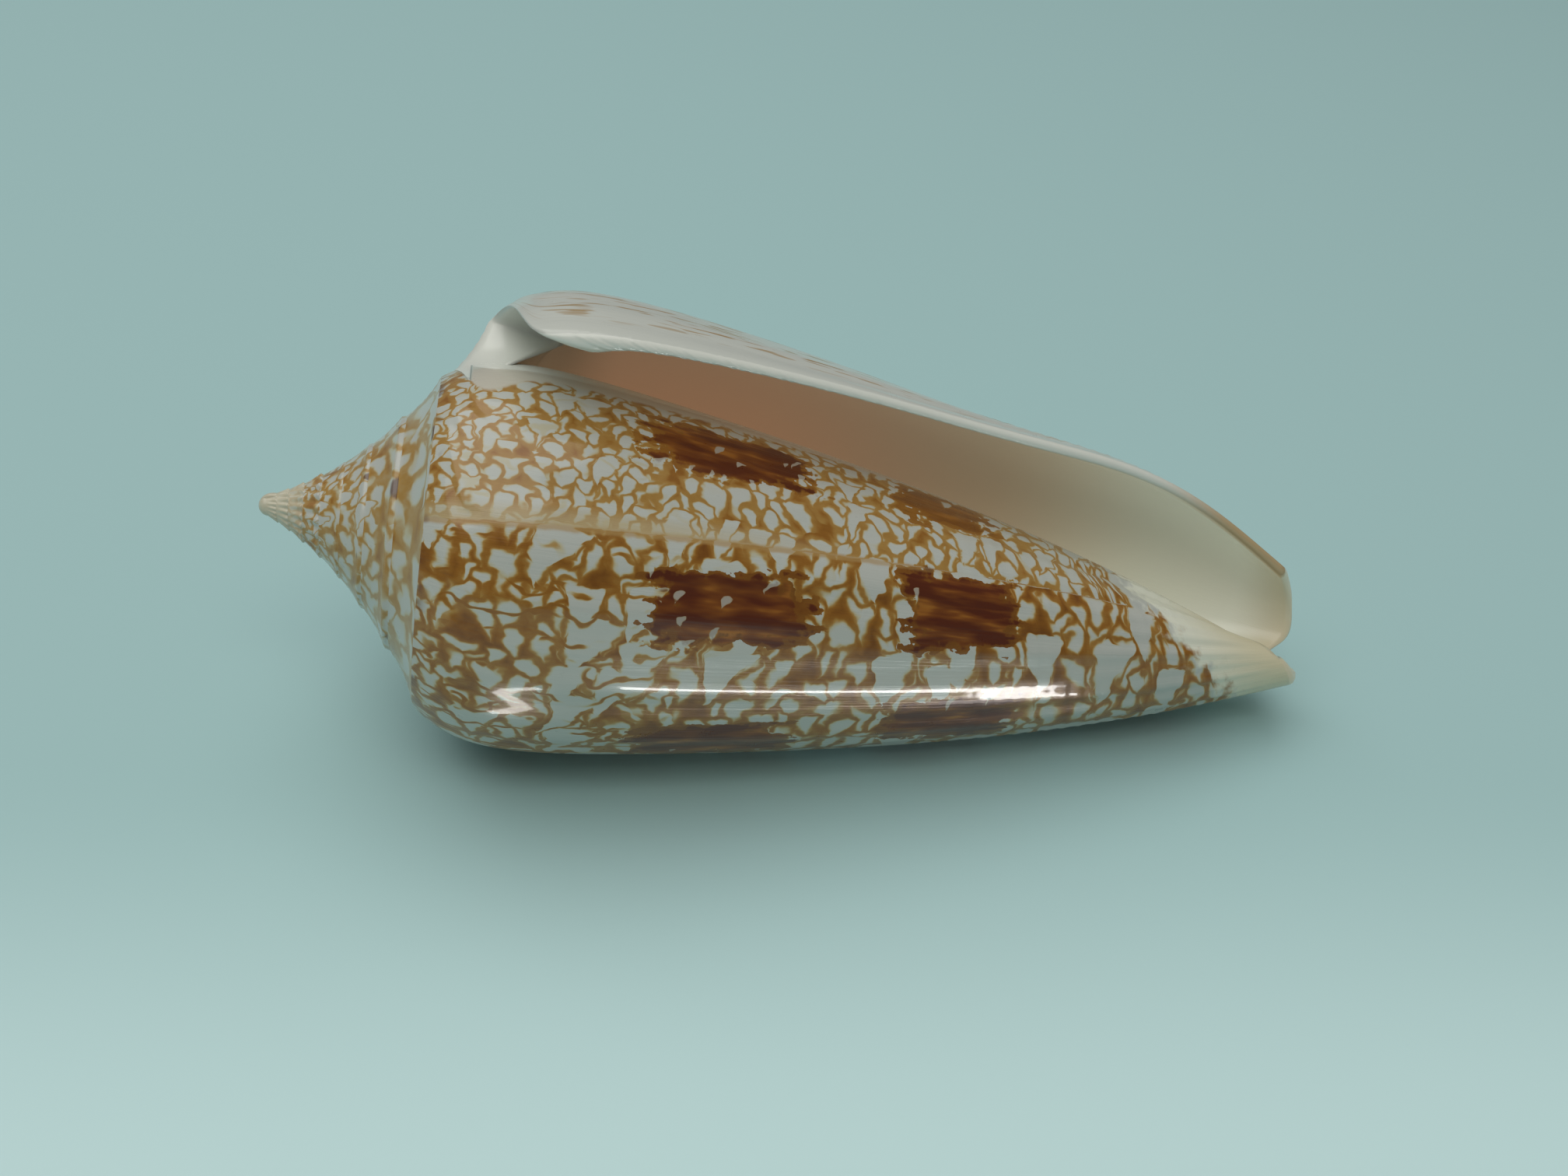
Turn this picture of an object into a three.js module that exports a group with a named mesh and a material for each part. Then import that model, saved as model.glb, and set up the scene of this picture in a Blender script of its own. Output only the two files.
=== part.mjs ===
// A cone shell lying on its side, apex towards -X and open siphonal end towards +X.
// The shell is one sheet wound round its axis. It is drawn here as one closed surface: the outside of the
// last whorl, the stepped spire, the lip's edge, and the pocket that runs in behind the lip.
// Millimetres, +Z up. The rest patch under the body whorl lies on z = 0.
import * as THREE from "three";

// The spiral
const WHORLS = 9;
const WHORL_RATIO = 1.42; // width of a whorl over the width of the one before it
const SPIRE_HEIGHT = 10.75; // along the axis, from where the spire's curve starts to the last shoulder
const SPIRE_POWER = 0.5; // under 1, the sides of the spire curve inwards
const SPIRE_STEP = 0.45; // drop from a shoulder to the suture at its foot, on the last whorl
const SPIRE_STEP_SLOPE = 0.3; // how far the step leans out, as a share of its drop
const APEX_RISE = 0.3;

// The body whorl, measured at the lip
const BODY_LENGTH = 40;
const BODY_RADIUS = 12.6;
const SHOULDER_INSET = 2.85; // how far the shoulder's edge stands in from the widest part
const SHOULDER_SHARE = 0.052; // share of the length over which the shoulder rounds out
const BULGE = 0.125; // how much the sides swell, as a share of the radius
const BULGE_SKEW = 0.047; // how much of the swelling sits towards the siphonal end
const COLUMELLA_RADIUS = 0.3;
const CANAL_RADIUS = 3.5; // at the siphonal end, on the lip side
const CANAL_POWER = 0.9; // how the siphonal end narrows from the lip round to the columella

// The siphonal end, as how far the rim stands short of the full length
const LIP_CORNER_CUT = 3.2;
const LIP_CORNER_TURN = 0.16; // share of a turn over which the lip's corner is rounded off
const NOTCH_DEPTH = 1.3;
const NOTCH_TURN = 0.42;
const NOTCH_WIDTH = 0.07;
const COLUMELLA_TURN = 0.48; // from here on the rim falls back towards the older whorl
const COLUMELLA_FALL = 3.6;
const COLUMELLA_CURVE = 1.5;

// The lip and the space behind it
const LIP_SWEEP = 0.1; // share of a turn by which the lip's edge falls back at the siphonal end
const LIP_SWEEP_CURVE = 1.5;
const SINUS_TURN = 0.12; // share of a turn by which the lip's edge falls back at the suture
const SINUS_SHARE = 0.028; // share of the length that this sinus takes
const EDGE_FADE = 4; // how fast the growth stages behind an edge straighten out
const FLARE = 1.5; // how far the lip turns out near the siphonal end
const FLARE_SHARE = 0.86; // where along the length, and over how much of it
const FLARE_WIDTH = 0.2;
const FLARE_TURN = 0.24;
const LIP_THICKNESS = 0.5;
const WALL_THICKNESS = 0.9;
const WALL_SHARE = 0.5; // most of the space between two whorls that the wall may fill
const THICKENING_TURN = 0.12; // share of a turn over which the wall reaches its full thickness
const ROOF_DEPTH = 1.1; // shell between the spire's ramp and the pocket
const POCKET_TURNS = 0.75;

// The resting pose
const AXIS_TILT = 8.8; // degrees, siphonal end down
const LIP_ANGLE = 101.5; // degrees round the axis, from +Y through +Z, to the lip's edge
const REST_PATCH_DEPTH = 0.2;

// Mesh density
const STEPS = 56; // columns in one turn
const ROWS = 20; // rows from the shoulder to the rim
const ROW_CROWDING = 1.4; // over 1, the rows crowd towards the shoulder, where the profile bends most
const ROOF_ROW = 3; // row of the columella's wall that the pocket's roof meets

const growth = (t) => WHORL_RATIO ** -t;
const bump = (x, middle, width) => Math.exp(-(((x - middle) / width) ** 2));

// A point of the shell at radius r and distance a along the axis, t turns back from the lip.
function pointAt(a, r, t) {
  const angle = THREE.MathUtils.degToRad(LIP_ANGLE) - 2 * Math.PI * t;
  return new THREE.Vector3(a, r * Math.cos(angle), r * Math.sin(angle));
}

// How far the rim stands short of the full length, t turns back from the lip.
function rimShortfall(t) {
  const corner = LIP_CORNER_CUT * bump(t, 0, LIP_CORNER_TURN);
  const notch = NOTCH_DEPTH * bump(t, NOTCH_TURN, NOTCH_WIDTH);
  const past = Math.max(0, Math.min(t, 1) - COLUMELLA_TURN) / (1 - COLUMELLA_TURN);
  return corner + notch + COLUMELLA_FALL * past ** COLUMELLA_CURVE;
}

function endRadius(t) {
  if (t >= 1) return COLUMELLA_RADIUS * growth(t - 1);
  return COLUMELLA_RADIUS + (CANAL_RADIUS - COLUMELLA_RADIUS) * (1 - t) ** CANAL_POWER;
}

// Radius of the outer surface: v runs from 0 at the shoulder to 1 at the rim.
function outerRadius(t, v) {
  const wide = BODY_RADIUS * growth(t);
  const end = endRadius(t);
  const swelling = 4 * (BULGE - BULGE_SKEW * (1 - 2 * v)) * v * (1 - v);
  const rounding = SHOULDER_INSET * growth(t) * Math.exp(-v / SHOULDER_SHARE);
  const flare = FLARE * bump(t, 0, FLARE_TURN) * bump(v, FLARE_SHARE, FLARE_WIDTH);
  return end + (wide - end) * (1 - v) + wide * swelling + flare - rounding;
}

function alongAxis(t, v) {
  const shoulder = SPIRE_HEIGHT * growth(t) ** SPIRE_POWER;
  return shoulder + (SPIRE_HEIGHT + BODY_LENGTH - rimShortfall(t) - shoulder) * v;
}

// How near a column is to an edge of the shell: the lip's own at column 0, or its old one, a turn back.
const nearness = (column, edge) => Math.max(0, 1 - Math.abs(column - edge)) ** EDGE_FADE;

// The edge falls back in a sinus at the suture and again towards the siphonal end.
// The columns on both sides of it follow less and less.
function swept(column, v) {
  const edge = LIP_SWEEP * v ** LIP_SWEEP_CURVE + SINUS_TURN * bump(v, 0, SINUS_SHARE);
  return column + edge * (nearness(column, 0) + nearness(column, 1));
}

function outerPoint(column, v) {
  const t = swept(column, v);
  return pointAt(alongAxis(t, v), outerRadius(t, v), t);
}

// The inner face of the wall, behind the lip.
function innerPoint(column, v) {
  const t = swept(column, v);
  const radius = outerRadius(t, v);
  const wall = Math.min(wallAt(column), WALL_SHARE * (radius - outerRadius(t + 1, v)));
  return pointAt(alongAxis(t, v) + ROOF_DEPTH * growth(t) * (1 - v), radius - wall, t);
}

// The suture at the foot of the step below an older shoulder, one turn back.
function suturePoint(column) {
  const t = column + SINUS_TURN * nearness(column, 0);
  const scale = growth(t + 1);
  const shoulder = SPIRE_HEIGHT * scale ** SPIRE_POWER;
  const radius = (BODY_RADIUS - SHOULDER_INSET) * scale;
  return pointAt(shoulder + SPIRE_STEP * scale, radius + SPIRE_STEP_SLOPE * SPIRE_STEP * scale, t);
}

const rowShare = (j) => (j / ROWS) ** ROW_CROWDING;

function wallAt(t) {
  const grown = 1 - Math.exp(-t / THICKENING_TURN);
  return LIP_THICKNESS + (WALL_THICKNESS - LIP_THICKNESS) * grown;
}

// The surface as a list of points and of triangles that face outwards.
class Surface {
  points = [];
  triangles = [];

  add(point) {
    return this.points.push(point) - 1;
  }

  triangle(a, b, c) {
    this.triangles.push(a, b, c);
  }

  // Two rows of the same length, joined by quads.
  strip(first, second) {
    for (let k = 0; k + 1 < first.length; k++) {
      this.triangle(first[k], first[k + 1], second[k]);
      this.triangle(first[k + 1], second[k + 1], second[k]);
    }
  }

  fan(centre, rim) {
    for (let k = 0; k + 1 < rim.length; k++) this.triangle(centre, rim[k], rim[k + 1]);
  }
}

const surface = new Surface();

// columns[i] holds the indices of one meridian, from the shoulder to the rim.
function meridian(t, firstRow, place) {
  const column = [];
  for (let j = firstRow; j <= ROWS; j++) column.push(surface.add(place(t, rowShare(j))));
  return column;
}

function buildBody() {
  const columns = [];
  for (let i = 0; i <= STEPS; i++) columns.push(meridian(i / STEPS, 0, outerPoint));
  for (let i = 0; i < STEPS; i++) surface.strip(columns[i], columns[i + 1]);
  return columns;
}

// The spire is one ramp wound from the last shoulder up to the apex.
function buildSpire(columns) {
  const shoulders = columns.map((column) => column[0]);
  for (let i = STEPS + 1; i <= WHORLS * STEPS; i++) shoulders.push(surface.add(outerPoint(i / STEPS, 0)));
  const last = (WHORLS - 1) * STEPS;
  const sutures = [];
  for (let i = 0; i <= last; i++) sutures.push(surface.add(suturePoint(i / STEPS)));
  const inner = shoulders.slice(STEPS);
  surface.strip(shoulders.slice(0, last + 1), sutures);
  surface.strip(sutures, inner);
  const top = surface.points[shoulders.at(-1)];
  const apex = surface.add(new THREE.Vector3(top.x - APEX_RISE, 0, 0));
  surface.fan(apex, shoulders.slice(last));
  surface.triangle(apex, shoulders.at(-1), sutures[last]);
  surface.triangle(apex, sutures[last], shoulders[last]);
  return sutures[0];
}

// The pocket behind the lip: its outer wall, its inner wall on the older whorl, its roof and its blind end.
function buildPocket(columns, firstSuture) {
  const deep = Math.round(POCKET_TURNS * STEPS);
  const outer = [];
  const inner = [columns[STEPS].slice(ROOF_ROW)];
  for (let i = 0; i <= deep; i++) {
    const t = i / STEPS;
    outer.push(meridian(t, 0, innerPoint));
    if (i > 0) inner.push(meridian(1 + t, ROOF_ROW, outerPoint));
  }
  surface.strip(outer[0], columns[0]);
  for (let i = 0; i < deep; i++) {
    surface.strip(outer[i + 1], outer[i]);
    surface.strip(inner[i], inner[i + 1]);
  }
  surface.strip(inner.map((column) => column[0]), outer.map((column) => column[0]));
  const endOuter = outer[deep];
  surface.fan(inner[deep][0], endOuter.slice(0, ROOF_ROW + 1).reverse());
  surface.strip(inner[deep], endOuter.slice(ROOF_ROW));
  const lipTop = [columns[0][0], firstSuture, ...columns[STEPS].slice(0, ROOF_ROW + 1)];
  surface.fan(outer[0][0], lipTop);
  return { outer, inner };
}

// The rim at the siphonal end, cut across the wall and the columella.
function buildRim(columns, pocket) {
  const lastOf = (column) => column.at(-1);
  const loop = [
    ...columns.map(lastOf),
    ...pocket.inner.slice(1).map(lastOf),
    ...pocket.outer.map(lastOf).reverse(),
  ];
  const outline = loop.map((index) => {
    const p = surface.points[index];
    return new THREE.Vector2(p.y, p.z);
  });
  for (const [a, b, c] of THREE.ShapeUtils.triangulateShape(outline, [])) {
    surface.triangle(loop[a], loop[b], loop[c]);
  }
}

// Tilts the shell onto its side, stands it on z = 0 with a small flat patch, and centres it.
function layDown(points) {
  const tilt = new THREE.Matrix4().makeRotationY(THREE.MathUtils.degToRad(AXIS_TILT));
  points.forEach((p) => p.applyMatrix4(tilt));
  const box = new THREE.Box3().setFromPoints(points);
  const centre = box.getCenter(new THREE.Vector3());
  const floor = box.min.z + REST_PATCH_DEPTH;
  for (const p of points) p.set(p.x - centre.x, p.y - centre.y, Math.max(p.z - floor, 0));
}

function shellGeometry() {
  const columns = buildBody();
  const firstSuture = buildSpire(columns);
  const pocket = buildPocket(columns, firstSuture);
  buildRim(columns, pocket);
  layDown(surface.points);
  const geometry = new THREE.BufferGeometry().setFromPoints(surface.points);
  geometry.setIndex(surface.triangles);
  geometry.computeVertexNormals();
  return geometry;
}

const nacre = new THREE.MeshStandardMaterial({ color: 0xcfc3a8, roughness: 0.3, metalness: 0 });
const shell = new THREE.Mesh(shellGeometry(), nacre);
shell.name = "shell";

const part = new THREE.Group();
part.add(shell);
export default part;
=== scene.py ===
"""A cone shell on a pale table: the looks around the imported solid.

The shell is one sheet wound round its axis. Flat grids are added one by one and wound into place by
the growth law, welded along their edges, and the few openings left over are filled.
Lengths of the shell are in millimetres and turned into metres when the vertices are set.
"""

import math

import bmesh
import bpy
import numpy as np
from mathutils import Matrix, Vector


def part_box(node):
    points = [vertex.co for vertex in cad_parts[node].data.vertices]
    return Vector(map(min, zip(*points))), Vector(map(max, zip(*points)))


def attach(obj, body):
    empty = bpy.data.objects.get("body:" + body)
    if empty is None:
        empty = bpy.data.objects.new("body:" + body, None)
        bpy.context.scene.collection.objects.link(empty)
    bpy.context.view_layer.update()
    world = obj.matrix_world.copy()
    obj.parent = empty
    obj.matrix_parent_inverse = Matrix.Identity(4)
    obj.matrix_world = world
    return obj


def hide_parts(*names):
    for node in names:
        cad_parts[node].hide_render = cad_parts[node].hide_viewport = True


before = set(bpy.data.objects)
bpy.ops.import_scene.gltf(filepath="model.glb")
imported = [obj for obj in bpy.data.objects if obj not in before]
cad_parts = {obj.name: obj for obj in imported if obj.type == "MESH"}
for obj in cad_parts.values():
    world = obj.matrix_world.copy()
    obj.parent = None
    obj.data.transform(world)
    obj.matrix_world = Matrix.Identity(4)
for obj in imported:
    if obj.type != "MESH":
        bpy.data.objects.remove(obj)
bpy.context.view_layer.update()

MM = 0.001

# The spiral, as in the solid
WHORLS = 9
WHORL_RATIO = 1.42
SPIRE_HEIGHT = 10.75
SPIRE_POWER = 0.5
SPIRE_STEP = 0.45
SPIRE_STEP_SLOPE = 0.3
APEX_RISE = 0.3
BODY_LENGTH = 40.0
BODY_RADIUS = 12.6
SHOULDER_INSET = 2.85
SHOULDER_SHARE = 0.052
BULGE = 0.125
BULGE_SKEW = 0.047
COLUMELLA_RADIUS = 0.3
CANAL_RADIUS = 3.5
CANAL_POWER = 0.9
LIP_CORNER_CUT = 3.2
LIP_CORNER_TURN = 0.16
NOTCH_DEPTH = 1.3
NOTCH_TURN = 0.42
NOTCH_WIDTH = 0.07
COLUMELLA_TURN = 0.48
COLUMELLA_FALL = 3.6
COLUMELLA_CURVE = 1.5
LIP_SWEEP = 0.1
LIP_SWEEP_CURVE = 1.5
SINUS_TURN = 0.12
SINUS_SHARE = 0.028
EDGE_FADE = 4
FLARE = 1.5
FLARE_SHARE = 0.86
FLARE_WIDTH = 0.2
FLARE_TURN = 0.24
LIP_THICKNESS = 0.5
WALL_THICKNESS = 0.9
WALL_SHARE = 0.5
THICKENING_TURN = 0.12
ROOF_DEPTH = 1.1
POCKET_TURNS = 0.75
AXIS_TILT = math.radians(8.8)
LIP_ANGLE = math.radians(101.5)
REST_PATCH_DEPTH = 0.2

# What the solid doesn't have: a thicker wall at the rear corner of the aperture, and rounded edges
CALLUS_DEPTH = 2.3
CALLUS_TURN = 0.2
CALLUS_SHARE = 0.09
EDGE_BULGE = 0.45
LIP_SETBACK = 0.006  # turns, so that the rounded edge ends where the solid's edge does
SETBACK_FADE = 40  # the setback is gone a fortieth of a turn behind the lip
EDGE_TURNS_FROM = 0.93  # from here on the lip's edge turns towards the siphonal end
RIM_TURNS_UNTIL = 0.12
PATCH_ROUNDING = 0.08

# Mesh density
TURN_COLUMNS = 152
MARKED_COLUMNS = 9
BODY_ROWS = 190
RAMP_ROWS = 12
STEP_ROWS = 3
EDGE_ROWS = 4
ROOF_ROW = 13
ROW_CROWDING = 1.3
DOME_ROWS = 8
ARC_SAMPLES = 600

# Fine relief: heights and the ridges' spacing in millimetres, places in turns or shares of the length
RAMP_DIP = 0.18
THREAD_HEIGHT = 0.03
THREADS_ON_RAMP = 3
BEAD_HEIGHT = 0.05  # as a share of the whorl's radius
BEADS_PER_TURN = 19
BEADS_RISE = (4.2, 5.2)  # turns back from the lip
BEADS_END = 8.3
BEADS_FADE = 0.6
RIDGE_HEIGHT = 0.022
RIDGE_SPACING = 0.75
RIDGES_RISE = (0.5, 0.68)
SCAR_HEIGHT = 0.07
SCAR_TURN = 0.886
SCAR_SLANT = 0.05
SCAR_EDGE = 0.005
SCAR_FADE = 0.05
SWELL_HEIGHT = 0.03
SWELLS_PER_TURN = 17
RIPPLES_PER_TURN = 29
SWELL_TWIST = 6
LIP_JAG = 0.02
JAG_WAVES = 310  # radians over the lip's length, as the next two are
JAG_WOBBLES = 97
JAG_RIPPLES = 523

WELD = 0.002  # millimetres: vertices closer than this are one

# The tents, as shares of their grid's cell
TENT_BACK = 0.4
TENT_POINT = 1.2
TENT_SIDE = 0.44
TENT_LEAN = 0.9
TENT_JITTER = 0.7
TENT_ROUNDING = 0.8
TENT_SMALLEST = 0.72
TENT_LARGEST = 1.2
BIG_TENT_CELL = 2.3
SMALL_TENT_SEED = 3.0
BIG_TENT_SEED = 11.0
NO_TENT_YET = 9.0

# The other marks of the outside
WANDER = 1.1  # how far the markings wander from their grid, in millimetres
QUIVER = 0.34
STREAKS_PER_TURN = 70
STREAKS_ALONG = 14.0
WAVES_PER_TURN = 42
LINE_STRETCH = 160
DASHES_PER_TURN = 300.0
DASHES_ALONG = 17.0
SCAR_WOBBLE = 0.004
SCAR_ENDS = (0.45, 0.62)
BEHIND_SCAR = (0.0, 0.002)

# Rows of blotches: first one's turn, turns between them, share of the length, half width, half height
UPPER_BLOTCHES = (0.835, 0.15, 0.32, 0.024, 0.075)
LOWER_BLOTCHES = (0.845, 0.145, 0.585, 0.031, 0.054)
LOWER_PALER_PAST = (0.9, 0.95)

# Camera in millimetres, table and lamps in metres
CAMERA_PLACE = (-7.39, -64.28, 53.45)
CAMERA_PITCH = math.radians(35.76)
CAMERA_YAW = math.radians(5.71)
CAMERA_ROLL = math.radians(4.13)
CAMERA_LENS = 39.49
SENSOR_WIDTH = 36
NEAREST_SEEN = 0.001
FLOOR_SIZE = 1.6
# Painted light on the table: full in front of the first place, gone behind the second, in metres
FLOOR_PAINTED_LIGHT_SPAN = (-0.028, -0.004)
LIGHT_TARGET = (0, 0, 0.01)
SKY_TINT = (0.95, 0.97, 0.98, 1)
SKY_STRENGTH = 0.16
LAMP_WHITE = (1.0, 0.99, 0.97)
FILL_WARM = (1.0, 0.96, 0.88)

# Lamps: place, size, watts and tint. The low ones have a middle, a length and watts
KEY_LAMP = ((-0.1, 0.02, 0.42), (0.6, 0.5), 1.5, LAMP_WHITE)
FILL_LAMP = ((0.02, -0.17, 0.26), (0.2, 0.1), 0.15, FILL_WARM)
LOW_STRIP = (0.005, 0.024, 0.0026)
LOW_SPOT = (-0.0135, 0.005, 0.00025)
LOW_LAMP_FRONT = -0.014
LOW_LAMP_HEIGHT = 0.0006
LOW_LAMP_THICKNESS = 0.0013

# The plane that the markings are drawn on: the cone unrolled
UNROLL_RADIUS = 5.0
UNROLL_TURN = 0.27 * 2 * math.pi
REFERENCE_TURN = 0.8
SPIRE_LAY_START = 900.0
SPIRE_LAY_WIDTH = 2.2
SPIRE_LAY_TURN = 38.0
STEP_LAY = 0.12  # the step's part of the strip
STEP_SHARES = 0.05  # how far the shares run over the step, so that they stay below zero
STEP_CLEARANCE = 0.01


def growth(t):
    return WHORL_RATIO ** -t


def hump(x, middle, width):
    return np.exp(-(((x - middle) / width) ** 2))


def smooth_step(x, low, high):
    share = np.clip((x - low) / (high - low), 0, 1)
    return share * share * (3 - 2 * share)


def rim_shortfall(t):
    corner = LIP_CORNER_CUT * hump(t, 0, LIP_CORNER_TURN)
    notch = NOTCH_DEPTH * hump(t, NOTCH_TURN, NOTCH_WIDTH)
    past = np.clip((np.minimum(t, 1) - COLUMELLA_TURN) / (1 - COLUMELLA_TURN), 0, 1)
    return corner + notch + COLUMELLA_FALL * past**COLUMELLA_CURVE


def end_radius(t):
    open_side = (CANAL_RADIUS - COLUMELLA_RADIUS) * np.clip(1 - t, 0, 1) ** CANAL_POWER
    return np.where(t >= 1, COLUMELLA_RADIUS * growth(t - 1), COLUMELLA_RADIUS + open_side)


def outer_radius(t, v):
    """Radius of the outer surface: v runs from 0 at the shoulder to 1 at the rim."""
    wide = BODY_RADIUS * growth(t)
    end = end_radius(t)
    swelling = 4 * (BULGE - BULGE_SKEW * (1 - 2 * v)) * v * (1 - v)
    rounding = SHOULDER_INSET * growth(t) * np.exp(-v / SHOULDER_SHARE)
    flare = FLARE * hump(t, 0, FLARE_TURN) * hump(v, FLARE_SHARE, FLARE_WIDTH)
    return end + (wide - end) * (1 - v) + wide * swelling + flare - rounding


def along_axis(t, v):
    shoulder = SPIRE_HEIGHT * growth(t) ** SPIRE_POWER
    return shoulder + (SPIRE_HEIGHT + BODY_LENGTH - rim_shortfall(t) - shoulder) * v


def nearness(column, edge):
    return np.clip(1 - np.abs(column - edge), 0, 1) ** EDGE_FADE


def ragged(v):
    """The lip's edge is finely uneven, in short waves, in turns."""
    fine = np.sin(JAG_WAVES * v + 2.1 * np.sin(JAG_WOBBLES * v)) + 0.8 * np.sin(JAG_RIPPLES * v + 1.3)
    return LIP_JAG / (2 * math.pi * BODY_RADIUS) * fine * smooth_step(v, 0.03, 0.1)


def swept(column, v):
    edge = LIP_SWEEP * v**LIP_SWEEP_CURVE + SINUS_TURN * hump(v, 0, SINUS_SHARE)
    jag = (LIP_SETBACK + ragged(v)) * np.clip(1 - SETBACK_FADE * np.abs(column), 0, 1)
    return column + edge * (nearness(column, 0) + nearness(column, 1)) + jag


def wound(a, r, t):
    """Points at radius r and distance a along the axis, t turns back from the lip."""
    angle = LIP_ANGLE - 2 * math.pi * t
    return np.stack([a, r * np.cos(angle), r * np.sin(angle)], axis=-1)


def arc_lengths():
    """Length along a meridian from the rim, for rising v."""
    v = np.linspace(0, 1, ARC_SAMPLES)
    t = np.full_like(v, REFERENCE_TURN)
    steps = np.hypot(np.diff(along_axis(t, v)), np.diff(outer_radius(t, v)))
    return v, np.append(np.cumsum(steps[::-1])[::-1], 0)


ARC_V, ARC_LENGTH = arc_lengths()


def unrolled(t, length):
    """The place on the markings' plane, at a length from the siphonal end."""
    reach = UNROLL_RADIUS + length
    angle = UNROLL_TURN * t
    return np.stack([reach * np.cos(angle), reach * np.sin(angle)], axis=-1)


def spire_lay(t, row):
    """The place on the markings' plane for the spire: a strip far off to one side of the unrolled cone.
    A turn has the same length in it on each whorl, so the marks shrink towards the tip with the whorls."""
    return np.stack([SPIRE_LAY_START + SPIRE_LAY_WIDTH * row, SPIRE_LAY_TURN * t], axis=-1)


def relief(column, v):
    """What the outside stands proud of the bare law by."""
    swell = np.sin(2 * math.pi * SWELLS_PER_TURN * column + SWELL_TWIST * v)
    swell = SWELL_HEIGHT * (swell + np.sin(2 * math.pi * RIPPLES_PER_TURN * column + 1))
    swell = swell * smooth_step(v, 0, 0.05) * smooth_step(1 - v, 0, 0.1)
    length = np.interp(v, ARC_V, ARC_LENGTH)
    ridges = RIDGE_HEIGHT * np.cos(2 * math.pi * length / RIDGE_SPACING) * smooth_step(v, *RIDGES_RISE)
    ridges = ridges * smooth_step(1 - v, 0.02, 0.12)
    past = swept(column, v) - SCAR_TURN - SCAR_SLANT * v
    scar = SCAR_HEIGHT * np.tanh(past / SCAR_EDGE) * np.exp(-np.abs(past) / SCAR_FADE)
    scar = scar * smooth_step(v, 0.01, 0.05) * smooth_step(0.62 - v, 0, 0.2)
    inside = smooth_step(column, 0, 0.02) * smooth_step(1 - column, 0, 0.02)
    return (swell + ridges - scar) * inside


def body_place(column, row):
    v = row**ROW_CROWDING
    t = swept(column, v)
    radius = outer_radius(t, v) + relief(column, v)
    lay = unrolled(t, np.interp(v, ARC_V, ARC_LENGTH))
    return wound(along_axis(t, v), radius, t), lay, np.stack([column, v], axis=-1)


def wall_at(column):
    grown = 1 - np.exp(-column / THICKENING_TURN)
    return LIP_THICKNESS + (WALL_THICKNESS - LIP_THICKNESS) * grown


def inner_point(column, v):
    t = swept(column, v)
    radius = outer_radius(t, v)
    wall = np.minimum(wall_at(column), WALL_SHARE * (radius - outer_radius(t + 1, v)))
    callus = CALLUS_DEPTH * np.exp(-column / CALLUS_TURN - v / CALLUS_SHARE)
    return wound(along_axis(t, v) + ROOF_DEPTH * growth(t) * (1 - v) + callus, radius - wall, t)


def pocket_place(share, row):
    column = POCKET_TURNS * share
    v = row**ROW_CROWDING
    return inner_point(column, v), unrolled(column, 0 * v), np.stack([column, v], axis=-1)


def parietal_rows(share):
    """Row shares of the parietal wall, which starts at the pocket's roof."""
    first = ROOF_ROW / BODY_ROWS
    return first + (1 - first) * share


def parietal_point(column, row):
    v = parietal_rows(row) ** ROW_CROWDING
    t = swept(column, v)
    lay = unrolled(t, np.interp(v, ARC_V, ARC_LENGTH))
    return wound(along_axis(t, v), outer_radius(t, v), t), lay, np.stack([column, v], axis=-1)


def marked_place(share, row):
    """The strip just inside the aperture, where the markings of the turn below still show."""
    return parietal_point(1 + MARKED_COLUMNS / TURN_COLUMNS * share, row)


def parietal_place(share, row):
    start = MARKED_COLUMNS / TURN_COLUMNS
    return parietal_point(1 + start + (POCKET_TURNS - start) * share, row)


def shoulder_at(column):
    t = swept(column, 0 * column)
    bead = np.cos(2 * math.pi * BEADS_PER_TURN * t) * smooth_step(column, *BEADS_RISE)
    radius = outer_radius(t, 0 * t)
    lift = BEAD_HEIGHT * radius * bead * smooth_step(BEADS_END - column, 0, BEADS_FADE)
    return along_axis(t, 0 * t) - 0.5 * lift, radius + lift, t


def foot_at(column):
    t = column + SINUS_TURN * nearness(column, 0)
    scale = growth(t + 1)
    radius = (BODY_RADIUS - SHOULDER_INSET) * scale + SPIRE_STEP_SLOPE * SPIRE_STEP * scale
    return SPIRE_HEIGHT * scale**SPIRE_POWER + SPIRE_STEP * scale, radius, t


def between(first, second, share):
    return [a + (b - a) * share for a, b in zip(first, second)]


def ramp_place(share, row):
    """The spire's concave ramp, from a shoulder in to the suture at the foot of the step above it."""
    column = (WHORLS - 1) * share
    a, r, t = between(shoulder_at(column), foot_at(column), row)
    scale = growth(column)
    dip = RAMP_DIP * scale * 4 * row * (1 - row)
    threads = THREAD_HEIGHT * scale * np.sin(2 * math.pi * THREADS_ON_RAMP * row) ** 2 * (row > 0)
    return wound(a + dip - threads, r, t), spire_lay(t, row), np.stack([column, -row], axis=-1)


def step_place(share, row):
    """The short step from the suture up to the older shoulder."""
    column = (WHORLS - 1) * share
    older = list(shoulder_at(column + 1))
    older[2] = older[2] - 1
    a, r, t = between(foot_at(column), older, row)
    lay = spire_lay(t + 1, STEP_LAY * (row - 1))
    share_there = STEP_SHARES * (row - 1) - STEP_CLEARANCE
    return wound(a, r, t), lay, np.stack([column + 1, share_there], axis=-1)


def dome_place(share, row):
    """The smooth first whorl, a small dome at the tip."""
    column = WHORLS - 1 + share
    a, r, t = shoulder_at(column)
    tip = shoulder_at(np.array([float(WHORLS)]))[0][0] - APEX_RISE
    rise = np.sin(row * math.pi / 2)
    point = wound(a + (tip - a) * rise, r * np.cos(row * math.pi / 2), t)
    return point, spire_lay(t, row), np.stack([column, -row], axis=-1)


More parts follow.
